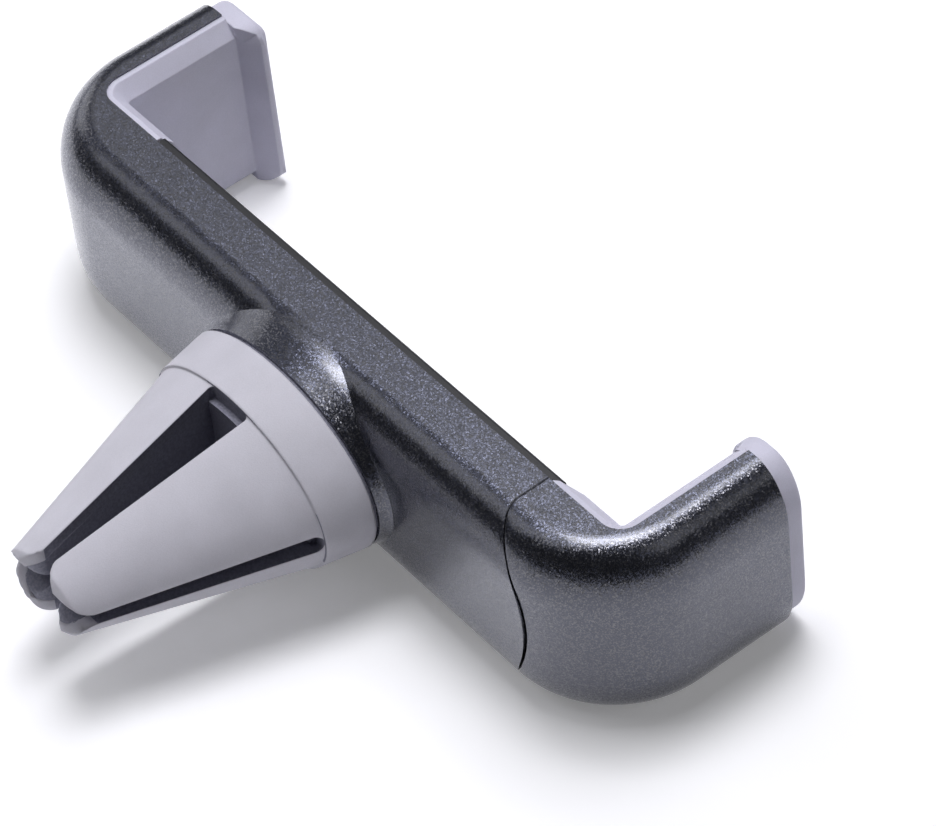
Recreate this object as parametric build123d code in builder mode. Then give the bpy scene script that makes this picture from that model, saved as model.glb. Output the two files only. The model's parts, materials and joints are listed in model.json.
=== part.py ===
"""Air-vent phone holder with one sliding jaw that a spring closes.

The bar lies along X on its long narrow underside, and Z is up. The phone side, with the two arms,
faces -Y, and the vent clip stands out of the back towards +Y. Shapes are drawn from the clip's axis
and the bar's flat back, and each finished piece is moved so that the origin lies on the underside's
plane at the middle of the whole outline. The jaw is modelled closed.
"""
import os

from build123d import *

os.makedirs("parts", exist_ok=True)

# Outer shell, in millimetres like every size here
bar_height = 19.0
overall_length = 77.4
middle_x = 0.95
bar_depth = 6.8
arm_thickness = 4.45
arm_reach = 20.0
corner_radius = 11.0
edge_run = 3.6
edge_drop = 5.2
wall = 1.5
inner_corner_radius = 2.0

# Parting line between the bar and the sliding arm
parting_from_end = 12.95
parting_bulge = 4.1
parting_gap = 0.2

# Front cover
cover_proud = 0.9
cover_step = 0.95
cover_margin = 0.3
cover_fit = 0.15
cover_overhang = 1.1
cover_edge_radius = 0.3

# Jaw liners and the plates that carry them
liner_thickness = 1.7
liner_margin = 0.2
liner_slope_run = 1.2
liner_slope_drop = 1.4
fixed_strip = 8.4
cap_thickness = 2.0
cap_inset = 0.45
cap_radius = 0.5
lip_reach = 2.0
lip_ramp = 1.2
carrier_thickness = 1.0
carrier_margin = 2.2
carrier_short = 1.2

# Neck
neck_length = 1.0
neck_width = 24.0
neck_margin = 0.7
neck_waist_y = 0.3
neck_waist_width = 24.6
neck_waist_margin = 0.5
neck_base_depth = 0.6
neck_base_width = 26.0
neck_base_margin = 0.2
neck_root_depth = 3.4
neck_root_width = 29.0
neck_root_margin = 0.05

# Vent clip
rim_gap = 0.4
rim_inset = 0.4
rim_thickness = 0.5
ring_length = 4.4
ring_width = 24.2
ring_margin = 0.65
ring_front_width = 22.5
ring_front_margin = 1.3
crease_step = 0.2
prong_length = 20.2
prong_tip_width = 9.0
prong_tip_height = 6.6
tip_chamfer = 0.6
wide_slot_root = 4.9
wide_slot_mouth = 1.3
wide_slot_corner = 0.4
narrow_slot_root = 1.8
narrow_slot_mouth = 1.0
narrow_slot_corner = 0.8
prong_corner = 1.9
boot_wall = 1.2
finger_short = 0.5
hub_past_crease = 0.6
hub_wall = 1.6
hub_floor = 1.4

# Slide
jaw_travel = 20.0
slide_gap = 0.2
tongue_depth = 5.6
tongue_gap = 0.3
tongue_end_x = 8.0
foot_length = 8.5
foot_thickness = 2.5
foot_margin = 3.2
stop_height = 0.7
stop_length = 2.0
stop_depth = 1.7

# Guide rods, bushes and spring
rod_diameter = 2.0
rod_margin = 4.4
rod_lead = 4.5
rod_from_end = 6.65
rod_gap = 0.05
rod_chamfer = 0.25
rod_clearance = 4.0
bore_gap = 0.15
bush_diameter = 3.0
bush_length = 6.0
block_from_end = 15.65
spring_diameter = 3.4
wire_diameter = 0.5
spring_slot_gap = 0.2
spring_slot_margin = 2.0
pin_diameter = 1.2
pin_bite = 0.5
eye_gap = 0.1
moving_pin_from_tongue = 7.0
fixed_pin_from_end = 11.65

# Screws
screw_gap = 0.1
screw_head_height = 0.9
cross_share = 0.6
screw_cross_width = 0.35
screw_cross_depth = 0.4
clip_screw_x = 6.0
clip_screw_length = 6.0
clip_screw_head = 3.8
clip_screw_shank = 2.0
clip_screw_boss = 4.4
cover_screw_near = 12.0
cover_screw_from_end = 1.45
cover_screw_z = 2.3
cover_screw_length = 3.6
cover_screw_head = 2.0
cover_screw_shank = 1.2
cover_boss = 2.0
tongue_screw_lead = 6.2
tongue_screw_inset = 2.8
tongue_screw_length = 3.8
tongue_screw_head = 3.0
tongue_screw_shank = 1.6

# Places worked out from the sizes
tolerance = 0.01
middle_z = bar_height / 2
half_length = overall_length / 2
fixed_end_x = middle_x + half_length
parting_x = middle_x - half_length + parting_from_end
jaw_half = half_length - arm_thickness
sliding_corner_x = middle_x - jaw_half
fixed_corner_x = middle_x + jaw_half
sliding_strip = parting_x - parting_gap - sliding_corner_x
bevel = cover_overhang / cover_proud
cover_end_x = fixed_corner_x - fixed_strip - cover_fit
cover_screw_xs = (cover_screw_near, cover_end_x - cover_screw_from_end)
rim_y = -bar_depth
cover_front_y = rim_y - cover_proud
cover_back_y = rim_y + cover_step
step_z = wall + cover_fit
tongue_inset = wall + slide_gap
rod_y = -(tongue_depth + tongue_inset) / 2
rod_places = [(rod_y, rod_margin), (rod_y, bar_height - rod_margin)]
tongue_start_x = parting_x + tongue_gap
rod_start_x = tongue_start_x + rod_lead
rod_end_x = fixed_end_x - rod_from_end
block_start_x = fixed_end_x - block_from_end
moving_pin_x = tongue_end_x - moving_pin_from_tongue
fixed_pin_x = fixed_end_x - fixed_pin_from_end
spring_slot_height = spring_diameter + 2 * spring_slot_gap
foot_end_x = tongue_start_x - foot_length
foot_back_y = foot_thickness - tongue_depth
foot_z_span = (foot_margin, bar_height - foot_margin)
slot_z_span = (middle_z - spring_slot_height / 2, middle_z + spring_slot_height / 2)
stop_back_y = stop_depth - tongue_depth
stop_end_x = tongue_end_x - stop_length - jaw_travel - slide_gap
neck_height = bar_height - 2 * neck_margin
neck_waist_height = bar_height - 2 * neck_waist_margin
neck_base_height = bar_height - 2 * neck_base_margin
neck_root_height = bar_height - 2 * neck_root_margin
ring_height = bar_height - 2 * ring_margin
ring_front_height = bar_height - 2 * ring_front_margin
ring_back_y = neck_length + rim_gap
crease_y = ring_back_y + ring_length
tip_y = crease_y + prong_length
to_frame = Location((-middle_x, (arm_reach + cap_thickness - tip_y) / 2, 0))
prong_root_width = ring_front_width - 2 * crease_step
prong_root_height = ring_front_height - 2 * crease_step
finger_root_width = prong_root_width - 2 * boot_wall
finger_root_height = prong_root_height - 2 * boot_wall
finger_tip_width = prong_tip_width - 2 * boot_wall
finger_tip_height = prong_tip_height - 2 * boot_wall
hub_width = ring_front_width - 2 * hub_wall
hub_height = ring_front_height - 2 * hub_wall
hub_end_y = crease_y + hub_past_crease
finger_end_y = tip_y - finger_short
wide_slot_plane = Plane.XY.offset(middle_z)
narrow_slot_plane = Plane(origin=(0, 0, middle_z), x_dir=(0, 0, 1), z_dir=(-1, 0, 0))
clip_screw_places = [(x, -wall, middle_z) for x in (-clip_screw_x, clip_screw_x)]
cover_screw_places = [
    (x, cover_front_y, z) for x in cover_screw_xs for z in (cover_screw_z, bar_height - cover_screw_z)
]
tongue_screw_x = parting_x - tongue_screw_lead
tongue_screw_places = [
    (tongue_screw_x, -tongue_depth, z)
    for z in (foot_z_span[0] + tongue_screw_inset, foot_z_span[1] - tongue_screw_inset)
]


def across_bar(x):
    """Plane across the bar at x, with its own +x towards the back."""
    return Plane(origin=(x, 0, 0), x_dir=(0, 1, 0), z_dir=(1, 0, 0))


def across_arm(y, side):
    """Plane across one arm at y, with its own +x towards that arm's outside."""
    return Plane(origin=(outer_x(side), y, 0), x_dir=(side, 0, 0), z_dir=(0, -side, 0))


def facing_back(x, y, z):
    """Plane at a point, facing the back of the bar."""
    return Plane(origin=(x, y, z), x_dir=(1, 0, 0), z_dir=(0, 1, 0))


def outer_x(side):
    """Outer face of the fixed arm (side 1) or of the sliding arm (side -1)."""
    return middle_x + side * half_length


def block(x_span, y_span, z_span, mode=Mode.ADD):
    """Add or cut a block given by its limits."""
    with BuildSketch(Plane.XY.offset(z_span[0])) as base:
        with Locations(((x_span[0] + x_span[1]) / 2, (y_span[0] + y_span[1]) / 2)):
            Rectangle(x_span[1] - x_span[0], y_span[1] - y_span[0])
    extrude(base.sketch, amount=z_span[1] - z_span[0], mode=mode)


def rod(plane, places, diameter, length, mode=Mode.ADD):
    """Add or cut round forms that start at places on a plane."""
    with BuildSketch(plane) as ends:
        with Locations(*places):
            Circle(diameter / 2)
    extrude(ends.sketch, amount=length, mode=mode)


def wall_section(depth, inset=0.0):
    """Draw the shell's section with oval outer edges, its outer face at local x = -inset."""
    run = edge_run - inset
    drop = edge_drop - inset
    high = bar_height - inset
    with BuildLine() as outline:
        Polyline((-inset - run, inset), (-depth, inset), (-depth, high), (-inset - run, high))
        EllipticalCenterArc((-inset - run, high - drop), run, drop, start_angle=0, arc_size=90)
        Line((-inset, high - drop), (-inset, inset + drop))
        EllipticalCenterArc((-inset - run, inset + drop), run, drop, start_angle=270, arc_size=90)
    make_face(outline.edges())


def bar_stretch(start_x, end_x, depth, inset=0.0, mode=Mode.ADD):
    """Add or cut a straight stretch of the bar."""
    with BuildSketch(across_bar(start_x)) as section:
        wall_section(depth, inset)
    extrude(section.sketch, amount=end_x - start_x, mode=mode)


def corner_and_arm(side):
    """Add one rounded corner of the bar and the arm that follows it."""
    centre_x = outer_x(side) - side * corner_radius
    turn = Axis((centre_x, -corner_radius, 0), (0, 0, -side))
    with BuildSketch(across_bar(centre_x)) as bar_end:
        wall_section(corner_radius)
    revolve(bar_end.sketch, axis=turn, revolution_arc=90)
    with BuildSketch(across_arm(-corner_radius, side)) as arm_start:
        wall_section(corner_radius)
    extrude(arm_start.sketch, amount=side * (arm_reach - corner_radius))


def open_jaw():
    """Cut the space between the arms out of the shell, with its rounded inner corners."""
    end_y = -arm_reach - cap_thickness
    with BuildSketch() as space:
        with BuildLine():
            FilletPolyline(
                (sliding_corner_x, end_y),
                (sliding_corner_x, rim_y),
                (fixed_corner_x, rim_y),
                (fixed_corner_x, end_y),
                radius=inner_corner_radius,
            )
            Line((sliding_corner_x, end_y), (fixed_corner_x, end_y))
        make_face()
    extrude(space.sketch, amount=bar_height, mode=Mode.SUBTRACT)


def beyond_parting(side, shift=0.0, depth=0.0):
    """Return the area on one side of the curved parting line, as seen from the front at a depth."""
    edge_x = parting_x + shift
    far_x = side * overall_length
    above = 2 * bar_height
    with BuildSketch(Plane.XZ.offset(depth)) as area:
        with BuildLine():
            ThreePointArc((edge_x, 0), (edge_x - parting_bulge, middle_z), (edge_x, bar_height))
            Polyline((edge_x, bar_height), (edge_x, above), (far_x, above))
            Polyline((far_x, above), (far_x, -bar_height), (edge_x, -bar_height), (edge_x, 0))
        make_face()
    return area.sketch


def cut_at_parting(side, shift=0.0):
    """Cut away everything on one side of the curved parting line."""
    extrude(beyond_parting(side, shift), amount=overall_length, both=True, mode=Mode.SUBTRACT)


def jaw_band(side, strip, arm_length, thickness, lean=0.0):
    """Draw an L-shaped band in the jaw's inner corner, towards the phone for a positive thickness."""
    corner_x = middle_x + side * jaw_half
    strip_x = corner_x - side * strip
    face_x = corner_x - side * thickness
    face_y = rim_y - thickness
    with BuildLine() as outline:
        back = FilletPolyline(
            (strip_x, rim_y), (corner_x, rim_y), (corner_x, -arm_length), radius=inner_corner_radius
        )
        front = FilletPolyline(
            (strip_x + side * lean, face_y),
            (face_x, face_y),
            (face_x, -arm_length),
            radius=inner_corner_radius - thickness,
        )
        Line(back @ 0, front @ 0)
        Line(back @ 1, front @ 1)
    make_face(outline.edges())


def carrier_form(side, strip, mode=Mode.ADD):
    """Add the hard plate behind a liner, or cut its seat."""
    with BuildSketch(Plane.XY.offset(carrier_margin)) as band:
        jaw_band(side, strip - carrier_short, arm_reach - carrier_short, -carrier_thickness)
    extrude(band.sketch, amount=bar_height - 2 * carrier_margin, mode=mode)


def jaw_liner(side, strip, lean=0.0):
    """Add the soft liner: strip on the bar, pad along the arm, sloped edges and a cap with a lip."""
    pad_x = middle_x + side * (jaw_half - liner_thickness)
    lip_x = pad_x - side * lip_reach
    with BuildSketch(Plane.XY.offset(liner_margin)) as band:
        jaw_band(side, strip, arm_reach, liner_thickness, lean)
    extrude(band.sketch, amount=bar_height - 2 * liner_margin)
    for end in (0, -1):
        face = faces().sort_by(Axis.Z)[end]
        phone_side = face.edges().filter_by(lambda edge: faces_phone(edge, pad_x))
        chamfer(phone_side, length=liner_slope_run, length2=liner_slope_drop, reference=face)
    with BuildSketch(across_arm(-arm_reach, side)) as section:
        wall_section(arm_thickness + liner_thickness + lip_reach, cap_inset)
    extrude(section.sketch, amount=side * cap_thickness)
    with BuildSketch() as under_lip:
        with BuildLine():
            Polyline((pad_x, -arm_reach), (lip_x, -arm_reach), (lip_x, -arm_reach - lip_ramp), close=True)
        make_face()
    extrude(under_lip.sketch, amount=bar_height, mode=Mode.SUBTRACT)
    fillet(faces().sort_by(Axis.Y)[0].edges(), cap_radius)


def faces_phone(edge, pad_x):
    """Tell whether an edge of a liner's band is on the phone's side."""
    place = edge.center()
    on_strip = abs(place.Y - (rim_y - liner_thickness)) < tolerance
    on_pad = abs(place.X - pad_x) < tolerance
    in_corner = edge.geom_type == GeomType.CIRCLE and edge.radius < inner_corner_radius - tolerance
    return on_strip or on_pad or in_corner


def oval(y, width, height):
    """Return an oval across the clip's axis at y."""
    with BuildSketch(facing_back(0, y, middle_z)) as face:
        Ellipse(width / 2, height / 2)
    return face.sketch


def finger_forms(mode=Mode.ADD):
    """Add the four prongs' hard inside as one taper, or cut it."""
    root = oval(crease_y, finger_root_width, finger_root_height)
    loft([root, oval(tip_y, finger_tip_width, finger_tip_height)], mode=mode)


def hub_forms(mode=Mode.ADD):
    """Add the core's rim and round hub, or cut them."""
    rim = oval(neck_length, ring_width - 2 * rim_inset, ring_height - 2 * rim_inset)
    extrude(rim, amount=rim_thickness, mode=mode)
    extrude(oval(neck_length, hub_width, hub_height), amount=hub_end_y - neck_length, mode=mode)


def prong_slot(plane, root, mouth, corner):
    """Cut one tapering slot between the prongs, with rounded corners at the crease and at the tips."""
    past_y = tip_y + ring_length
    aside = ring_width
    with BuildSketch(plane) as wedge:
        with BuildLine():
            Polyline((-mouth / 2, tip_y), (-root / 2, crease_y), (root / 2, crease_y), (mouth / 2, tip_y))
            Polyline((mouth / 2, tip_y), (aside, tip_y), (aside, past_y), (-aside, past_y))
            Polyline((-aside, past_y), (-aside, tip_y), (-mouth / 2, tip_y))
        make_face()
        by_length = vertices().group_by(Axis.Y)
        fillet(by_length[0], corner)
        fillet([spot for spot in by_length[1] if abs(spot.X) < aside / 2], prong_corner)
    extrude(wedge.sketch, amount=ring_width, both=True, mode=Mode.SUBTRACT)


def form_along_bar(start_x, end_x, places, diameter, mode=Mode.SUBTRACT):
    """Cut or add round forms along the bar."""
    rod(Plane.YZ.offset(start_x), places, diameter, end_x - start_x, mode)


def upright_pin(x, mode=Mode.ADD):
    """Add one of the pins that the spring hooks on, or cut its holes."""
    half = spring_slot_height / 2 + pin_bite
    rod(Plane.XY.offset(middle_z - half), [(x, rod_y)], pin_diameter, 2 * half, mode)


def screw_form(place, head, shank, length, gap=0.0, mode=Mode.ADD):
    """Add a screw with its head's top at the place and its tip towards +Y, or cut its hole."""
    plane = facing_back(*place)
    rod(plane, [(0, 0)], head + 2 * gap, screw_head_height, mode)
    rod(plane, [(0, 0)], shank + 2 * gap, length, mode)


def screw(place, head, shank, length):
    """Add one cross-head screw."""
    cross_length = cross_share * head
    screw_form(place, head, shank, length)
    with BuildSketch(facing_back(*place)) as cross:
        Rectangle(cross_length, screw_cross_width)
        Rectangle(screw_cross_width, cross_length)
    extrude(cross.sketch, amount=screw_cross_depth, mode=Mode.SUBTRACT)


# Rear shell: bar, fixed arm and neck in one moulding
with BuildPart() as rear_shell:
    bar_stretch(parting_x - parting_bulge, outer_x(1) - corner_radius, corner_radius)
    corner_and_arm(1)
    open_jaw()
    flare = [
        oval(-neck_root_depth, neck_root_width, neck_root_height),
        oval(-neck_base_depth, neck_base_width, neck_base_height),
        oval(neck_waist_y, neck_waist_width, neck_waist_height),
        oval(neck_length, neck_width, neck_height),
    ]
    loft(flare)
    bar_stretch(parting_x - parting_bulge, block_start_x, bar_depth + wall, wall, Mode.SUBTRACT)
    for place in cover_screw_places[:2]:
        boss = facing_back(place[0], cover_back_y, place[2])
        rod(boss, [(0, 0)], cover_boss, -cover_back_y - wall)
    block((block_start_x, fixed_pin_x + spring_slot_margin), (rim_y, -wall), slot_z_span, Mode.SUBTRACT)
    form_along_bar(block_start_x, rod_end_x, rod_places, rod_diameter)
    upright_pin(fixed_pin_x, Mode.SUBTRACT)
    carrier_form(1, fixed_strip, Mode.SUBTRACT)
    for place in clip_screw_places:
        screw_form(place, clip_screw_head, clip_screw_shank, clip_screw_length, screw_gap, Mode.SUBTRACT)
    for place in cover_screw_places:
        rod(facing_back(*place), [(0, 0)], cover_screw_shank, cover_screw_length, Mode.SUBTRACT)
    cut_at_parting(-1)
rear_shell.part.label = "rear_shell"
export_step(rear_shell.part.moved(to_frame), "parts/rear_shell.step")

# Sliding arm shell: the bar's other end with its arm
with BuildPart() as sliding_arm_shell:
    bar_stretch(outer_x(-1) + corner_radius, parting_x, corner_radius)
    corner_and_arm(-1)
    open_jaw()
    block((foot_end_x, parting_x), (rim_y, foot_back_y), foot_z_span, Mode.SUBTRACT)
    carrier_form(-1, sliding_strip, Mode.SUBTRACT)
    for place in tongue_screw_places:
        rod(facing_back(*place), [(0, 0)], tongue_screw_shank, tongue_screw_length, Mode.SUBTRACT)
    cut_at_parting(1, -parting_gap)
sliding_arm_shell.part.label = "sliding_arm_shell"
export_step(sliding_arm_shell.part.moved(to_frame), "parts/sliding_arm_shell.step")

# Front cover: a band with a bevelled end, a step that fits in the bar's open side, and two stop ribs
with BuildPart() as front_cover:
    with BuildSketch(Plane.XY.offset(cover_margin)):
        with BuildLine():
            Polyline(
                (parting_x, rim_y),
                (parting_x - cover_overhang, cover_front_y),
                (cover_end_x, cover_front_y),
                (cover_end_x, rim_y),
                close=True,
            )
        make_face()
    extrude(amount=bar_height - 2 * cover_margin)
    fillet(faces().sort_by(Axis.Y)[0].edges().filter_by(Axis.X), cover_edge_radius)
    block(
        (parting_x + cover_fit, block_start_x - cover_fit),
        (rim_y, cover_back_y),
        (step_z, bar_height - step_z),
    )
    for low_z in (step_z, bar_height - step_z - stop_height):
        block(
            (stop_end_x - stop_length, stop_end_x),
            (cover_back_y, stop_back_y),
            (low_z, low_z + stop_height),
        )
    for place in cover_screw_places:
        screw_form(place, cover_screw_head, cover_screw_shank, cover_screw_length, screw_gap, Mode.SUBTRACT)
front_cover.part.label = "front_cover"
export_step(front_cover.part.moved(to_frame), "parts/front_cover.step")

# Hard plates behind the liners
with BuildPart() as fixed_pad_carrier:
    carrier_form(1, fixed_strip)
fixed_pad_carrier.part.label = "fixed_pad_carrier"
export_step(fixed_pad_carrier.part.moved(to_frame), "parts/fixed_pad_carrier.step")

with BuildPart() as sliding_pad_carrier:
    carrier_form(-1, sliding_strip)
sliding_pad_carrier.part.label = "sliding_pad_carrier"
export_step(sliding_pad_carrier.part.moved(to_frame), "parts/sliding_pad_carrier.step")

# Soft jaw liners, the sliding one relieved where it passes over the bar's own rim
with BuildPart() as fixed_jaw_liner:
    jaw_liner(1, fixed_strip)
fixed_jaw_liner.part.label = "fixed_jaw_liner"
export_step(fixed_jaw_liner.part.moved(to_frame), "parts/fixed_jaw_liner.step")

with BuildPart() as sliding_jaw_liner:
    jaw_liner(-1, sliding_strip, bevel * liner_thickness)
    extrude(beyond_parting(1, -parting_gap, bar_depth), amount=slide_gap, mode=Mode.SUBTRACT)
sliding_jaw_liner.part.label = "sliding_jaw_liner"
export_step(sliding_jaw_liner.part.moved(to_frame), "parts/sliding_jaw_liner.step")

# Slide tongue, with the foot that carries the sliding arm
with BuildPart() as slide_tongue:
    bar_stretch(tongue_start_x, tongue_end_x, tongue_depth, tongue_inset)
    rebate_top = step_z + stop_height + slide_gap
    for low_z in (tongue_inset, bar_height - rebate_top):
        block(
            (tongue_start_x, tongue_end_x - stop_length),
            (-tongue_depth, stop_back_y + slide_gap),
            (low_z, low_z + rebate_top - tongue_inset),
            Mode.SUBTRACT,
        )
    block((foot_end_x, tongue_start_x), (-tongue_depth, foot_back_y), foot_z_span)
    block(
        (moving_pin_x - spring_slot_margin, tongue_end_x),
        (-tongue_depth, -tongue_inset),
        slot_z_span,
        Mode.SUBTRACT,
    )
    form_along_bar(rod_start_x - rod_clearance, tongue_end_x, rod_places, rod_diameter + 2 * bore_gap)
    form_along_bar(tongue_end_x - bush_length, tongue_end_x, rod_places, bush_diameter)
    upright_pin(moving_pin_x, Mode.SUBTRACT)
    for place in tongue_screw_places:
        screw_form(
            place, tongue_screw_head, tongue_screw_shank, tongue_screw_length, screw_gap, Mode.SUBTRACT
        )
slide_tongue.part.label = "slide_tongue"
export_step(slide_tongue.part.moved(to_frame), "parts/slide_tongue.step")

# Guide rods and the bushes that run on them
for place, name in zip(rod_places, ("lower", "upper")):
    with BuildPart() as guide_rod:
        form_along_bar(rod_start_x, rod_end_x, [place], rod_diameter, Mode.ADD)
        chamfer(edges().filter_by(GeomType.CIRCLE), rod_chamfer)
    guide_rod.part.label = f"guide_rod_{name}"
    export_step(guide_rod.part.moved(to_frame), f"parts/guide_rod_{name}.step")

    with BuildPart() as guide_bush:
        form_along_bar(tongue_end_x - bush_length, tongue_end_x, [place], bush_diameter, Mode.ADD)
        form_along_bar(tongue_end_x - bush_length, tongue_end_x, [place], rod_diameter + 2 * rod_gap)
    guide_bush.part.label = f"guide_bush_{name}"
    export_step(guide_bush.part.moved(to_frame), f"parts/guide_bush_{name}.step")

# Return spring, closed coils with a flat eye at each end, and its two pins
eye_radius = pin_diameter / 2 + eye_gap + wire_diameter
coil_start_x = moving_pin_x + eye_radius
coil_end_x = fixed_pin_x - eye_radius
spring_bore = spring_diameter - 2 * wire_diameter
with BuildPart() as return_spring:
    form_along_bar(coil_start_x, coil_end_x, [(rod_y, middle_z)], spring_diameter, Mode.ADD)
    form_along_bar(coil_start_x + wire_diameter, coil_end_x - wire_diameter, [(rod_y, middle_z)], spring_bore)
    for pin_x in (moving_pin_x, fixed_pin_x):
        with BuildSketch(Plane.XY.offset(middle_z - wire_diameter / 2)):
            with Locations((pin_x, rod_y)):
                Circle(eye_radius + eye_gap)
                Circle(eye_radius - wire_diameter, mode=Mode.SUBTRACT)
        extrude(amount=wire_diameter)
return_spring.part.label = "return_spring"
export_step(return_spring.part.moved(to_frame), "parts/return_spring.step")

with BuildPart() as spring_pin_fixed:
    upright_pin(fixed_pin_x)
spring_pin_fixed.part.label = "spring_pin_fixed"
export_step(spring_pin_fixed.part.moved(to_frame), "parts/spring_pin_fixed.step")

with BuildPart() as spring_pin_moving:
    upright_pin(moving_pin_x)
spring_pin_moving.part.label = "spring_pin_moving"
export_step(spring_pin_moving.part.moved(to_frame), "parts/spring_pin_moving.step")

# Clip core: rim, hollow hub with two screw bosses, and four fingers inside the prongs
with BuildPart() as clip_core:
    finger_forms()
    block((-ring_width, ring_width), (finger_end_y, tip_y), (0, bar_height), Mode.SUBTRACT)
    prong_slot(wide_slot_plane, wide_slot_root, wide_slot_mouth, wide_slot_corner)
    prong_slot(narrow_slot_plane, narrow_slot_root, narrow_slot_mouth, narrow_slot_corner)
    hub_forms()
    hollow = oval(neck_length, hub_width - 2 * hub_wall, hub_height - 2 * hub_wall)
    extrude(hollow, amount=hub_end_y - hub_floor - neck_length, mode=Mode.SUBTRACT)
    for place in clip_screw_places:
        boss = facing_back(place[0], neck_length, place[2])
        rod(boss, [(0, 0)], clip_screw_boss, hub_end_y - hub_floor - neck_length)
        rod(facing_back(*place), [(0, 0)], clip_screw_shank, clip_screw_length, Mode.SUBTRACT)
clip_core.part.label = "clip_core"
export_step(clip_core.part.moved(to_frame), "parts/clip_core.step")

# Clip boot: soft ring and the skin of the four prongs, open at their tips and along their slots
with BuildPart() as clip_boot:
    loft([
        oval(crease_y, prong_root_width, prong_root_height),
        oval(tip_y, prong_tip_width, prong_tip_height),
    ])
    chamfer(faces().sort_by(Axis.Y)[-1].edges(), tip_chamfer)
    finger_forms(Mode.SUBTRACT)
    prong_slot(wide_slot_plane, wide_slot_root, wide_slot_mouth, wide_slot_corner)
    prong_slot(narrow_slot_plane, narrow_slot_root, narrow_slot_mouth, narrow_slot_corner)
    loft([oval(ring_back_y, ring_width, ring_height), oval(crease_y, ring_front_width, ring_front_height)])
    hub_forms(Mode.SUBTRACT)
clip_boot.part.label = "clip_boot"
export_step(clip_boot.part.moved(to_frame), "parts/clip_boot.step")

# Screws, each kind in one file
with BuildPart() as clip_screws:
    for place in clip_screw_places:
        screw(place, clip_screw_head, clip_screw_shank, clip_screw_length)
clip_screws.part.label = "clip_screws"
export_step(clip_screws.part.moved(to_frame), "parts/clip_screws.step")

with BuildPart() as cover_screws:
    for place in cover_screw_places:
        screw(place, cover_screw_head, cover_screw_shank, cover_screw_length)
cover_screws.part.label = "cover_screws"
export_step(cover_screws.part.moved(to_frame), "parts/cover_screws.step")

with BuildPart() as tongue_screws:
    for place in tongue_screw_places:
        screw(place, tongue_screw_head, tongue_screw_shank, tongue_screw_length)
tongue_screws.part.label = "tongue_screws"
export_step(tongue_screws.part.moved(to_frame), "parts/tongue_screws.step")
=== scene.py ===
"""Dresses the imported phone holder: softened mouldings, sparkling paint, silicone and steel.

Sizes are in metres, in the CAD frame: X along the bar, +Y out along the vent clip, Z up.
"""
import json
import math

import bpy
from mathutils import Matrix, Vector

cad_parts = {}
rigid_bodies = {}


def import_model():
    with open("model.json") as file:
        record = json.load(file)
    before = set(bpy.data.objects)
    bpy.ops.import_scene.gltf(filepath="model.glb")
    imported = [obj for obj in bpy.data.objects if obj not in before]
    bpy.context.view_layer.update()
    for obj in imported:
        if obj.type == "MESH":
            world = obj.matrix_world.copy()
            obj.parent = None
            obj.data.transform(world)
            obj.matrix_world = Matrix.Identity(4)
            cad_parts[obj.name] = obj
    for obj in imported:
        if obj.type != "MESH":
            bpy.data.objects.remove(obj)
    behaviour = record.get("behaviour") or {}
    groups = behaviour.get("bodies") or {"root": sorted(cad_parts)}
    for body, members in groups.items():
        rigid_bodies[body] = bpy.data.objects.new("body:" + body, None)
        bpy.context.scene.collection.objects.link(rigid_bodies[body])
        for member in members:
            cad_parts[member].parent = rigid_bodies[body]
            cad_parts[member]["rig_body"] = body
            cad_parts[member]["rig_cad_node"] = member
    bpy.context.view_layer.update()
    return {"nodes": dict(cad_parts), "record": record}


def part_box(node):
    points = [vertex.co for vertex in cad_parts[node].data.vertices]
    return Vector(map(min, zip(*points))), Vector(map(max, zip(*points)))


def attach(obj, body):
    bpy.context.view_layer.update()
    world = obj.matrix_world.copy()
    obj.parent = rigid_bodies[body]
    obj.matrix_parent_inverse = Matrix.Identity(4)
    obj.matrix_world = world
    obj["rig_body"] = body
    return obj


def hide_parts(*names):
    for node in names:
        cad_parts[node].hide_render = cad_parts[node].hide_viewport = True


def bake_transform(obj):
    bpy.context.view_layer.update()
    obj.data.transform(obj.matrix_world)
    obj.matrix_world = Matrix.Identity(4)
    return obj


bl_info = {
    "name": "Vent phone holder",
    "version": (1, 0, 0),
    "blender": (4, 5, 0),
    "location": "View3D > Sidebar > Holder",
    "description": "Builds the visible pieces, finishes and studio of a vent phone holder",
    "category": "Object",
}

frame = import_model()
MM = 0.001
# Sizes of the CAD that the dressed pieces follow
CAP_DEPTH = 2.0 * MM
WIDE_ROOT = 4.9 * MM
WIDE_MOUTH = 1.3 * MM
NARROW_ROOT = 1.8 * MM
NARROW_MOUTH = 1.0 * MM
ROOT_DEPTH = 6.0 * MM
EYE_WIDTH = 2.6 * MM
# Faces round each corner of the lips and the prongs
ROUND_STEPS = 10
# Points nearer than this are one, and faces flatter than this against each other are one
MERGE_GAP = 0.001 * MM
FLAT_ANGLE = math.radians(0.2)
# Edges sharper than these are rounded, on most pieces and on the boot
ROUNDED_ANGLE = math.radians(30)
BOOT_ROUNDED_ANGLE = math.radians(18)
# Rounding of the plain mouldings and of the core
MOULDING_EDGE = 0.1 * MM
CORE_EDGE = 0.06 * MM
# Room left round a face when its place is tested
ROOM = 0.1 * MM
# A face whose normal has less than SIDEWAYS along an axis runs along it, and one with more than FACING
# looks along it
SIDEWAYS = 0.3
FACING = 0.7
# A face in a slot that points further than this towards the tips keeps the silicone instead of the painted
# shade
OUTWARD = 0.05
# How far the paint's flakes lean out of its surface
FLAKE_TILT = 0.30
# Distance of the lamps from the origin, and their colour
LAMP_DISTANCE = 0.6
LAMP_COLOR = (0.96, 0.96, 1.0)
# Light that the floor adds where the camera or a mirror sees it
FLOOR_GLOW = 0.2
# Share of the white background that paint and metal mirror: more of it would grey the dark paint
MIRRORED_SKY = 0.03
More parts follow.
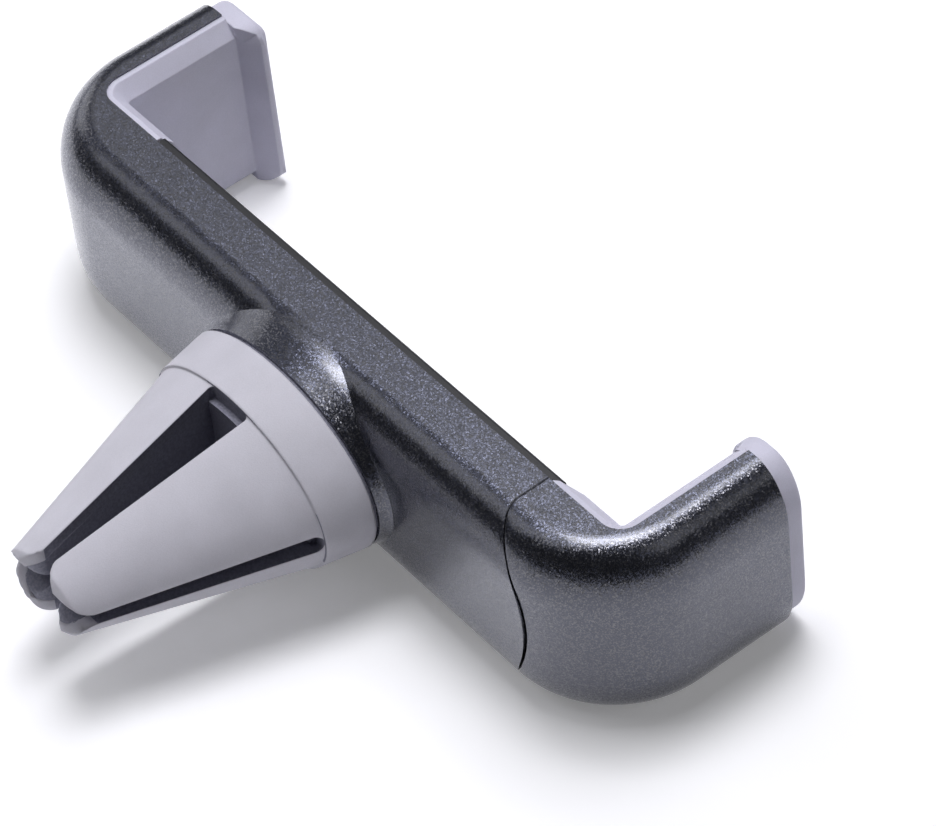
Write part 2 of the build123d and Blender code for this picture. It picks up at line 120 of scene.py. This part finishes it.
# Each soft lamp: name, height above the floor and turn about Z in degrees, power in watts, width in metres
LAMPS = (
    ("lamp_above", 82, 322, 1.7, 0.22),
    ("lamp_behind", 68, 300, 1.15, 0.26),
    ("lamp_sheen", 47, 330, 0.17, 0.26),
    ("lamp_left", 68, 60, 0.25, 0.26),
    ("lamp_low_left", 45, 40, 0.25, 0.26),
    ("lamp_low_far", 20, 0, 0.3, 0.26),
    ("lamp_low_near", 45, 200, 0.18, 0.26),
)


class ShellSizes(bpy.types.PropertyGroup):
    """Sizes and colours of the painted mouldings and the black cover."""

    edge: bpy.props.FloatProperty(
        name="Edge rounding", description="Rounding on the mouldings' visible edges",
        default=0.12 * MM, unit="LENGTH")
    paint: bpy.props.FloatVectorProperty(
        name="Paint", description="Colour of the metallic paint", subtype="COLOR",
        default=(0.058, 0.062, 0.084))
    flake: bpy.props.FloatVectorProperty(
        name="Flakes", description="Colour of the paint's brighter flakes", subtype="COLOR",
        default=(0.21, 0.205, 0.205))
    flake_size: bpy.props.FloatProperty(
        name="Flake size", description="Size of one paint flake", default=0.10 * MM, unit="LENGTH")
    cover: bpy.props.FloatVectorProperty(
        name="Cover", description="Colour of the black front cover", subtype="COLOR",
        default=(0.008, 0.008, 0.01))
    # The core's own colour, lifted to the mid-grey of silicone in shade; it is also painted on the boot's
    # slot walls as painted shade
    core: bpy.props.FloatVectorProperty(
        name="Core", description="Colour of the clip's dark core", subtype="COLOR",
        default=(0.19, 0.19, 0.24))


class SiliconeSizes(bpy.types.PropertyGroup):
    """Sizes and colours of the soft liners and of the clip's soft boot."""

    edge: bpy.props.FloatProperty(
        name="Edge rounding", description="Rounding on the soft pieces' edges", default=0.22 * MM,
        unit="LENGTH")
    near_lip_corner: bpy.props.FloatProperty(
        name="Sliding lip corner", description="Radius of the sliding lip's corners", default=4.8 * MM,
        unit="LENGTH")
    far_lip_corner: bpy.props.FloatProperty(
        name="Fixed lip corner", description="Radius of the fixed lip's corners", default=1.8 * MM,
        unit="LENGTH")
    # The liners are the same silicone as the boot, painted lighter than the boot's colour to make up for
    # the shade the jaws sit in
    liner: bpy.props.FloatVectorProperty(
        name="Liner", description="Colour of the jaw liners", subtype="COLOR", default=(0.64, 0.63, 0.74))
    prong_corner: bpy.props.FloatProperty(
        name="Prong corner", description="Radius of the prongs' corners at the slots", default=2.4 * MM,
        unit="LENGTH")
    boot_edge: bpy.props.FloatProperty(
        name="Boot edge rounding", description="Rounding on the boot's edges", default=0.36 * MM,
        unit="LENGTH")
    boot: bpy.props.FloatVectorProperty(
        name="Boot", description="Colour of the clip's boot", subtype="COLOR", default=(0.62, 0.61, 0.67))


class MetalSizes(bpy.types.PropertyGroup):
    """Sizes and colours of the steel pieces and of the spring."""

    steel: bpy.props.FloatVectorProperty(
        name="Steel", description="Colour of rods, plates and wire", subtype="COLOR",
        default=(0.56, 0.56, 0.58))
    screw: bpy.props.FloatVectorProperty(
        name="Screws", description="Colour of the plated screws", subtype="COLOR",
        default=(0.20, 0.20, 0.22))
    wire: bpy.props.FloatProperty(
        name="Wire", description="Diameter of the spring's wire", default=0.5 * MM, unit="LENGTH")


class StageSizes(bpy.types.PropertyGroup):
    """Camera, lamps and floor."""

    camera_place: bpy.props.FloatVectorProperty(
        name="Camera place", description="Where the camera stands", subtype="TRANSLATION",
        default=(-0.24003, 0.14101, 0.30805))
    camera_turn: bpy.props.FloatVectorProperty(
        name="Camera turn", description="The camera's rotation about X, Y and Z", subtype="EULER",
        default=(math.radians(42.746), math.radians(4.678), math.radians(-128.783)))
    lens: bpy.props.FloatProperty(
        name="Lens", description="Focal length on a sensor 36 mm wide", default=193.35)
    floor: bpy.props.FloatVectorProperty(
        name="Floor", description="Colour of the floor", subtype="COLOR", default=(0.97, 0.97, 0.98))
    light: bpy.props.FloatProperty(
        name="Light", description="Share of every lamp's planned power", default=1.0, min=0.0)
    sky: bpy.props.FloatProperty(
        name="Sky", description="Strength of the even light from all round", default=0.02)


class Wire:
    """A shader socket whose sums and products add Math nodes."""

    def __init__(self, tree, socket):
        self.tree = tree
        self.socket = socket

    def math(self, operation, *values):
        """Add one Math node and return its result."""
        node = self.tree.nodes.new("ShaderNodeMath")
        node.operation = operation
        for slot, value in zip(node.inputs, values):
            join(self.tree, slot, value)
        return Wire(self.tree, node.outputs[0])

    def __add__(self, other):
        return self.math("ADD", self, other)

    def __radd__(self, other):
        return self.math("ADD", other, self)

    def __mul__(self, other):
        return self.math("MULTIPLY", self, other)

    def __rmul__(self, other):
        return self.math("MULTIPLY", other, self)


def join(tree, slot, value):
    """Link a wire or a socket to a slot, or set the slot's own value."""
    if isinstance(value, Wire):
        tree.links.new(slot, value.socket)
    elif isinstance(value, bpy.types.NodeSocket):
        tree.links.new(slot, value)
    else:
        slot.default_value = value


def socket_name(name):
    """A socket's name from a Python name."""
    return name.replace("_", " ").title().replace("Ior", "IOR")


class Finish:
    """A material under construction."""

    def __init__(self, name, **shader_values):
        self.material = bpy.data.materials.new(name)
        self.material.use_nodes = True
        self.tree = self.material.node_tree
        self.shader = self.tree.nodes["Principled BSDF"]
        self.place = self.add("ShaderNodeTexCoord").outputs["Object"]
        self.set(**shader_values)

    def set(self, **values):
        """Set or link the shader's sockets, named with underscores for spaces."""
        for name, value in values.items():
            join(self.tree, self.shader.inputs[socket_name(name)], value)

    def add(self, kind, settings=None, **values):
        """Add any node, with its settings first and then its sockets."""
        node = self.tree.nodes.new(kind)
        for name, value in (settings or {}).items():
            setattr(node, name, value)
        for name, value in values.items():
            join(self.tree, node.inputs[socket_name(name)], value)
        return node

    def noise(self, size, detail=2.0, roughness=0.5):
        """Noise with features of about one size, in metres."""
        node = self.add(
            "ShaderNodeTexNoise", Vector=self.place, Scale=1 / size, Detail=detail, Roughness=roughness)
        return Wire(self.tree, node.outputs["Fac"])

    def cells(self, size):
        """Random grey and colour of small cells."""
        return self.add("ShaderNodeTexVoronoi", Vector=self.place, Scale=1 / size)

    def vectors(self, operation, *values):
        """A sum, difference or other result of vectors."""
        node = self.add("ShaderNodeVectorMath", {"operation": operation})
        for slot, value in zip(node.inputs, values):
            join(self.tree, slot, value)
        return node.outputs[0]

    def ramp(self, value, *stops):
        """A colour or grey that follows a value through stops."""
        node = self.add("ShaderNodeValToRGB")
        elements = node.color_ramp.elements
        while len(elements) < len(stops):
            elements.new(0.5)
        for element, (place, color) in zip(elements, stops):
            element.position = place
            element.color = tuple(color) + (1.0,) if hasattr(color, "__len__") else (color,) * 3 + (1.0,)
        join(self.tree, node.inputs[0], value)
        return node.outputs[0]

    def mix(self, share, first, second):
        """Blend two colours by a share."""
        node = self.add("ShaderNodeMix", {"data_type": "RGBA"})
        for slot, value in ((0, share), (6, first), (7, second)):
            value = tuple(value) + (1.0,) if isinstance(value, (tuple, list)) and len(value) == 3 else value
            join(self.tree, node.inputs[slot], value)
        return node.outputs[2]

    def bump(self, height, depth, normal=None):
        """Bump from a height of 0 to 1 that stands for a depth in metres, over a normal if one is given."""
        node = self.add("ShaderNodeBump", Height=height, Distance=depth, Strength=1.0)
        if normal is not None:
            join(self.tree, node.inputs["Normal"], normal)
        return node.outputs["Normal"]


def color_of(values):
    """A colour property as a plain tuple."""
    return tuple(values[:3])


def metallic_paint(sizes):
    """Charcoal paint with fine bright flakes."""
    paint = Finish("charcoal_paint", metallic=1.0, roughness=0.31, coat_weight=1.0, coat_roughness=0.20)
    paint.set(specular_tint=(0.92, 0.93, 1.0, 1.0))
    cells = paint.cells(sizes.flake_size)
    grey = Wire(paint.tree, paint.add("ShaderNodeSeparateColor", Color=cells.outputs["Color"]).outputs[0])
    clouds = paint.noise(0.9 * MM, 3.0)
    bright = paint.ramp(grey * 0.8 + clouds * 0.2, (0.55, 0.0), (0.85, 0.5))
    paint.set(base_color=paint.mix(bright, color_of(sizes.paint), color_of(sizes.flake)))
    tilt = paint.vectors("SUBTRACT", cells.outputs["Color"], (0.5, 0.5, 0.5))
    small = paint.add("ShaderNodeVectorMath", {"operation": "SCALE"}, Vector=tilt, Scale=FLAKE_TILT)
    facing = paint.add("ShaderNodeNewGeometry").outputs["Normal"]
    flakes = paint.vectors("NORMALIZE", paint.vectors("ADD", facing, small.outputs[0]))
    paint.set(normal=flakes, roughness=paint.ramp(clouds, (0.3, 0.28), (0.7, 0.34)))
    return paint.material


def silicone(name, color, edge):
    """Matte soft silicone with a very fine grain, whose edges look rounded by a width."""
    soft = Finish(
        name, roughness=0.62, subsurface_weight=0.08, subsurface_scale=0.6 * MM, specular_ior_level=0.35)
    soft.shader.inputs["Subsurface Radius"].default_value = (1.0, 0.8, 0.8)
    grain = soft.noise(0.10 * MM, 2.0)
    clouds = soft.noise(4.0 * MM, 3.0)
    dark = tuple(0.90 * c for c in color)
    light = tuple(min(1.0, 1.05 * c) for c in color)
    tone = soft.ramp(grain * 0.45 + clouds * 0.55, (0.3, dark), (0.7, light))
    soft.set(base_color=tone, roughness=soft.ramp(clouds, (0.3, 0.56), (0.7, 0.68)))
    rounded = soft.add("ShaderNodeBevel", {"samples": 8}, Radius=edge)
    soft.set(normal=soft.bump(grain, 0.012 * MM, rounded.outputs["Normal"]))
    return soft.material


def black_plastic(name, color, roughness):
    """Dark moulded plastic with a faint texture."""
    plastic = Finish(name, roughness=roughness)
    grain = plastic.noise(0.22 * MM, 3.0)
    light = tuple(1.6 * c for c in color)
    plastic.set(base_color=plastic.ramp(grain, (0.35, color), (0.75, light)))
    plastic.set(roughness=plastic.ramp(grain, (0.3, roughness - 0.05), (0.7, roughness + 0.06)))
    plastic.set(normal=plastic.bump(grain, 0.008 * MM))
    return plastic.material


def steel(name, color, roughness):
    """Ground or plated steel with faint stains."""
    metal = Finish(name, metallic=1.0, roughness=roughness)
    stains = metal.noise(1.5 * MM, 3.0)
    dark = tuple(0.8 * c for c in color)
    metal.set(base_color=metal.ramp(stains, (0.35, dark), (0.65, color)))
    metal.set(roughness=metal.ramp(stains, (0.3, roughness - 0.06), (0.7, roughness + 0.08)))
    return metal.material


def cream_plastic():
    """Natural low-friction plastic of the bushes."""
    plastic = Finish("bush_plastic", roughness=0.45)
    grain = plastic.noise(0.3 * MM, 2.0)
    plastic.set(base_color=plastic.ramp(grain, (0.3, (0.70, 0.68, 0.60)), (0.7, (0.80, 0.78, 0.70))))
    return plastic.material


def select_only(piece):
    """Leave one object selected and active."""
    bpy.ops.object.select_all(action="DESELECT")
    piece.select_set(True)
    bpy.context.view_layer.objects.active = piece


def body_of_node(node):
    """The CAD body that a node belongs to."""
    bodies = frame["record"]["behaviour"]["bodies"]
    return next(body for body, nodes in bodies.items() if node in nodes)


def finished_copy(node, name, material, edge, segments=3, smooth=35.0, reshape=None):
    """Copy a CAD node, merge its triangles, round its edges and let the copy stand for it."""
    piece = frame["nodes"][node].copy()
    piece.data = frame["nodes"][node].data.copy()
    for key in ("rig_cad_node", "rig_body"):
        del piece[key]
    piece.parent = None
    piece.name = name
    piece.data.name = name
    bpy.context.scene.collection.objects.link(piece)
    paint_piece(piece, material)
    select_only(piece)
    bpy.ops.object.mode_set(mode="EDIT")
    bpy.ops.mesh.select_all(action="SELECT")
    bpy.ops.mesh.remove_doubles(threshold=MERGE_GAP)
    bpy.ops.mesh.dissolve_limited(angle_limit=FLAT_ANGLE)
    bpy.ops.object.mode_set(mode="OBJECT")
    if reshape:
        reshape(piece)
    rounding = piece.modifiers.new("Rounding", "BEVEL")
    rounding.width = edge
    rounding.segments = segments
    rounding.limit_method = "WEIGHT" if "bevel_weight_edge" in piece.data.attributes else "ANGLE"
    rounding.angle_limit = ROUNDED_ANGLE
    rounding.harden_normals = False
    rounding.material = 0
    bpy.ops.object.modifier_apply(modifier="Rounding")
    bpy.ops.object.shade_smooth_by_angle(angle=math.radians(smooth))
    weighting = piece.modifiers.new("Weighting", "WEIGHTED_NORMAL")
    weighting.keep_sharp = True
    bpy.ops.object.modifier_apply(modifier="Weighting")
    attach(piece, body_of_node(node))
    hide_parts(node)
    return piece


def paint_piece(piece, material):
    """Give a piece one material."""
    piece.data.materials.clear()
    piece.data.materials.append(material)


def finish_node(node, material):
    """Give a CAD node that stays its own material."""
    paint_piece(frame["nodes"][node], material)


class HOLDER_OT_shells(bpy.types.Operator):
    """Make the two painted mouldings"""

    bl_idname = "holder.shells"
    bl_label = "Painted shells"

    def execute(self, context):
        sizes = context.scene.holder_shell
        paint = metallic_paint(sizes)
        finished_copy("rear_shell", "bar_moulding", paint, sizes.edge)
        finished_copy("sliding_arm_shell", "arm_moulding", paint, sizes.edge)
        return {"FINISHED"}


class HOLDER_OT_cover(bpy.types.Operator):
    """Make the black front cover"""

    bl_idname = "holder.cover"
    bl_label = "Front cover"

    def execute(self, context):
        sizes = context.scene.holder_shell
        black = black_plastic("cover_plastic", color_of(sizes.cover), 0.42)
        finished_copy("front_cover", "cover_band", black, MOULDING_EDGE)
        return {"FINISHED"}


def round_corner(piece, corner, first, second, radius, last_y=1.0):
    """Round a corner between two outward directions, on the part of a piece that lies before last_y."""
    centre = corner - radius * (first + second)
    select_only(piece)
    bpy.ops.object.mode_set(mode="EDIT")
    for step in range(ROUND_STEPS + 1):
        turn = step / ROUND_STEPS * math.pi / 2
        bpy.ops.mesh.select_all(action="SELECT")
        bpy.ops.mesh.bisect(plane_co=centre, plane_no=first * math.sin(turn) - second * math.cos(turn))
    bpy.ops.object.mode_set(mode="OBJECT")
    widest = radius + ROOM
    for vertex in piece.data.vertices:
        out_first = (vertex.co - centre).dot(first)
        out_second = (vertex.co - centre).dot(second)
        reach = math.hypot(out_first, out_second)
        in_corner = 0 < out_first < widest and 0 < out_second < widest and vertex.co.y < last_y
        if in_corner and reach > radius:
            vertex.co -= (1 - radius / reach) * (out_first * first + out_second * second)


def round_lip(piece, side, radius):
    """Round the two corners of a liner's lip that point at the other jaw."""
    places = [vertex.co for vertex in piece.data.vertices]
    end_y = min(place.y for place in places)
    cap = [place for place in places if place.y < end_y + CAP_DEPTH / 2]
    lip_x = -max(-side * place.x for place in cap) * side
    for end_z, out in ((min(place.z for place in cap), -1), (max(place.z for place in cap), 1)):
        corner = Vector((lip_x, end_y, end_z))
        last_y = end_y + CAP_DEPTH + ROOM / 2
        round_corner(piece, corner, Vector((-side, 0, 0)), Vector((0, 0, out)), radius, last_y)


def round_prongs(piece, radius):
    """Round the corners of the four prongs at the mouths of both slots."""
    low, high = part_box("clip_boot")
    middle = (low + high) / 2
    along = Vector((0, 1, 0))
    for side in (-1, 1):
        beside = Vector((middle.x + side * WIDE_MOUTH / 2, high.y, middle.z))
        round_corner(piece, beside, Vector((-side, 0, 0)), along, radius)
        above = Vector((middle.x, high.y, middle.z + side * NARROW_MOUTH / 2))
        round_corner(piece, above, Vector((0, 0, -side)), along, radius)


def paint_shade_in_slots(piece, dark):
    """Paint shade on the boot's slot walls and slot roots with the dark core material, since these silicone
    walls look dark only from shade, and mark the skin's outer edges for rounding.
    """
    low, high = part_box("clip_boot")
    middle = (low + high) / 2
    piece.data.materials.append(dark)
    touched = {}
    for face in piece.data.polygons:
        away = face.center - middle
        at_root = face.center.y < low.y + ROOT_DEPTH
        in_wide = abs(away.x) < WIDE_ROOT / 2 + ROOM and abs(face.normal.z) < SIDEWAYS
        in_narrow = abs(away.z) < NARROW_ROOT / 2 + ROOM and abs(face.normal.x) < SIDEWAYS
        in_slot = face.center.y < high.y - ROOM and (in_wide or in_narrow)
        # Painted shade: these silicone faces of the boot take the dark core material where the slots are
        # only in shade
        if in_slot and (face.normal.y < OUTWARD or at_root):
            face.material_index = 1
        outward = away.x * face.normal.x + away.z * face.normal.z
        inner = not in_slot and abs(face.normal.y) < FACING and outward < 0
        for key in face.edge_keys:
            touched.setdefault(key, []).append((inner, face.normal.copy()))
    weights = piece.data.attributes.new("bevel_weight_edge", "FLOAT", "EDGE")
    for edge in piece.data.edges:
        sides = touched.get(edge.key, [])
        sharp = len(sides) == 2 and sides[0][1].angle(sides[1][1], 0) > BOOT_ROUNDED_ANGLE
        weights.data[edge.index].value = float(sharp and not any(inner for inner, normal in sides))


class HOLDER_OT_liners(bpy.types.Operator):
    """Make the soft liners of both jaws"""

    bl_idname = "holder.liners"
    bl_label = "Jaw liners"

    def execute(self, context):
        sizes = context.scene.holder_silicone
        soft = silicone("liner_silicone", color_of(sizes.liner), sizes.edge)
        jaws = (
            ("fixed_jaw_liner", "fixed_liner", 1, sizes.far_lip_corner),
            ("sliding_jaw_liner", "sliding_liner", -1, sizes.near_lip_corner))
        for node, name, side, corner in jaws:
            finished_copy(
                node, name, soft, sizes.edge,
                reshape=lambda piece: round_lip(piece, side, corner))
        return {"FINISHED"}


class HOLDER_OT_clip(bpy.types.Operator):
    """Make the clip's soft boot and its black core"""

    bl_idname = "holder.clip"
    bl_label = "Vent clip"

    def execute(self, context):
        sizes = context.scene.holder_silicone
        shell = context.scene.holder_shell
        soft = silicone("boot_silicone", color_of(sizes.boot), sizes.boot_edge)
        # The core's material also paints shade on the boot's slot walls
        black = black_plastic("core_plastic_and_slot_shade", color_of(shell.core), 0.6)

        def shape_boot(piece):
            round_prongs(piece, sizes.prong_corner)
            paint_shade_in_slots(piece, black)

        finished_copy(
            "clip_boot", "boot", soft, sizes.boot_edge, segments=4, smooth=60.0, reshape=shape_boot)
        finished_copy(
            "clip_core", "core", black, CORE_EDGE,
            reshape=lambda piece: round_prongs(piece, sizes.prong_corner))
        return {"FINISHED"}


class HOLDER_OT_spring(bpy.types.Operator):
    """Wind the return spring with its two flat eyes"""

    bl_idname = "holder.spring"
    bl_label = "Return spring"

    def execute(self, context):
        sizes = context.scene.holder_metal
        low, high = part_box("return_spring")
        wire = sizes.wire
        middle = (low + high) / 2
        eye = (EYE_WIDTH - wire) / 2
        coil_start = low.x + EYE_WIDTH
        coil_end = high.x - EYE_WIDTH
        turns = int((coil_end - coil_start) / wire) - 1
        pitch = (coil_end - coil_start - wire) / turns
        bpy.ops.object.select_all(action="DESELECT")
        bpy.ops.mesh.primitive_circle_add(
            vertices=10, radius=wire / 2, location=(0, (high.z - low.z - wire) / 2, 0))
        coil = context.object
        bpy.ops.object.transform_apply(location=True)
        winding = coil.modifiers.new("Winding", "SCREW")
        winding.axis = "X"
        winding.angle = 2 * math.pi
        winding.screw_offset = pitch
        winding.iterations = turns
        winding.steps = 20
        winding.use_merge_vertices = False
        bpy.ops.object.modifier_apply(modifier="Winding")
        coil.location = (coil_start + wire / 2, middle.y, middle.z)
        bpy.ops.object.transform_apply(location=True)
        eyes = []
        for eye_x in (low.x + EYE_WIDTH / 2, high.x - EYE_WIDTH / 2):
            bpy.ops.mesh.primitive_torus_add(
                major_radius=eye, minor_radius=wire / 2, major_segments=40, minor_segments=10,
                location=(eye_x, middle.y, middle.z))
            eyes.append(context.object)
            bpy.ops.object.transform_apply(location=True)
        select_only(coil)
        for ring in eyes:
            ring.select_set(True)
        bpy.ops.object.join()
        coil.name = "spring_wire"
        bpy.ops.object.shade_smooth()
        paint_piece(coil, steel("spring_steel", color_of(sizes.steel), 0.25))
        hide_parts("return_spring")
        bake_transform(coil)
        return {"FINISHED"}


class HOLDER_OT_slide(bpy.types.Operator):
    """Finish the tongue, rods, bushes, plates, pins and screws"""

    bl_idname = "holder.slide"
    bl_label = "Slide and fixings"

    def execute(self, context):
        sizes = context.scene.holder_metal
        black = black_plastic("tongue_plastic", (0.012, 0.012, 0.014), 0.38)
        finished_copy("slide_tongue", "tongue", black, MOULDING_EDGE)
        bright = steel("ground_steel", color_of(sizes.steel), 0.22)
        for node in ("guide_rod_upper", "guide_rod_lower", "spring_pin_fixed", "spring_pin_moving",
                     "fixed_pad_carrier", "sliding_pad_carrier"):
            finish_node(node, bright)
        cream = cream_plastic()
        for node in ("guide_bush_upper", "guide_bush_lower"):
            finish_node(node, cream)
        plated = steel("plated_steel", color_of(sizes.screw), 0.3)
        for node in ("clip_screws", "cover_screws", "tongue_screws"):
            finish_node(node, plated)
        return {"FINISHED"}


class HOLDER_OT_stage(bpy.types.Operator):
    """Set up the camera, the floor, the lamps and the sky"""

    bl_idname = "holder.stage"
    bl_label = "Camera, floor and lamps"

    def execute(self, context):
        sizes = context.scene.holder_stage
        bpy.ops.object.camera_add(location=sizes.camera_place, rotation=sizes.camera_turn)
        camera = context.object
        camera.data.lens = sizes.lens
        camera.data.sensor_width = 36.0
        camera.data.clip_start = 0.01
        camera.data.clip_end = 10.0
        context.scene.camera = camera
        bpy.ops.mesh.primitive_plane_add(size=4.0, location=(0, 0, 0))
        floor = context.object
        floor.name = "floor"
        paint_piece(floor, floor_finish(color_of(sizes.floor)))
        for name, height, turn, power, size in LAMPS:
            soft_lamp(name, height, turn, power * sizes.light, size)
        sky = bpy.data.worlds.new("sky")
        sky.use_nodes = True
        context.scene.world = sky
        light_the_sky(sky.node_tree, sizes.sky)
        context.scene.view_settings.view_transform = "Standard"
        return {"FINISHED"}


def soft_lamp(name, height, turn, power, size):
    """Add a square soft lamp that points at the holder from a height and a turn in degrees."""
    turn = math.radians(turn)
    height = math.radians(height)
    away = Vector((math.cos(turn), math.sin(turn), 0)) * math.cos(height)
    away.z = math.sin(height)
    bpy.ops.object.light_add(type="AREA", location=LAMP_DISTANCE * away)
    lamp = bpy.context.object
    lamp.name = name
    lamp.data.size = size
    lamp.data.energy = power
    lamp.data.color = LAMP_COLOR
    lamp.rotation_euler = (-away).to_track_quat("-Z", "Y").to_euler()
    lamp.visible_camera = False


def floor_finish(color):
    """A pale floor that takes shadows and shows white to the camera where it is lit."""
    floor = Finish("floor_white", roughness=0.9, specular_ior_level=0.1)
    path = floor.add("ShaderNodeLightPath")
    seen = Wire(floor.tree, path.outputs["Is Camera Ray"]) + Wire(floor.tree, path.outputs["Is Glossy Ray"])
    floor.set(base_color=tuple(color) + (1.0,), emission_color=tuple(color) + (1.0,))
    floor.set(emission_strength=seen * FLOOR_GLOW)
    return floor.material


def light_the_sky(tree, strength):
    """Even light from all round, and a white background for the camera."""
    background = tree.nodes["Background"]
    background.inputs["Color"].default_value = (0.93, 0.94, 1.0, 1.0)
    path = tree.nodes.new("ShaderNodeLightPath")
    seen = Wire(tree, path.outputs["Is Camera Ray"]) + Wire(tree, path.outputs["Is Transmission Ray"])
    mirrored = Wire(tree, path.outputs["Is Glossy Ray"]) * MIRRORED_SKY
    join(tree, background.inputs["Strength"], seen + mirrored + strength)


class HOLDER_PT_panel(bpy.types.Panel):
    """Lists the steps that build the holder"""

    bl_idname = "HOLDER_PT_panel"
    bl_label = "Vent phone holder"
    bl_space_type = "VIEW_3D"
    bl_region_type = "UI"
    bl_category = "Holder"

    def draw(self, context):
        for step in STEPS:
            self.layout.operator(step.bl_idname)
        for name in GROUPS:
            for key in getattr(context.scene, name).bl_rna.properties.keys():
                if key not in ("rna_type", "name"):
                    self.layout.prop(getattr(context.scene, name), key)


STEPS = (
    HOLDER_OT_shells, HOLDER_OT_cover, HOLDER_OT_liners, HOLDER_OT_clip, HOLDER_OT_slide, HOLDER_OT_spring,
    HOLDER_OT_stage,
)
GROUPS = {
    "holder_shell": ShellSizes, "holder_silicone": SiliconeSizes, "holder_metal": MetalSizes,
    "holder_stage": StageSizes,
}


def register():
    """Register the settings, the steps and the panel."""
    for name, group in GROUPS.items():
        bpy.utils.register_class(group)
        setattr(bpy.types.Scene, name, bpy.props.PointerProperty(type=group))
    for item in STEPS + (HOLDER_PT_panel,):
        bpy.utils.register_class(item)


def unregister():
    """Take the panel, the steps and the settings out again."""
    for item in (HOLDER_PT_panel,) + STEPS[::-1]:
        bpy.utils.unregister_class(item)
    for name, group in GROUPS.items():
        delattr(bpy.types.Scene, name)
        bpy.utils.unregister_class(group)


def main():
    """Build the holder and its studio."""
    register()
    for step in STEPS:
        group, name = step.bl_idname.split(".")
        getattr(getattr(bpy.ops, group), name)()


if __name__ == "__main__":
    main()
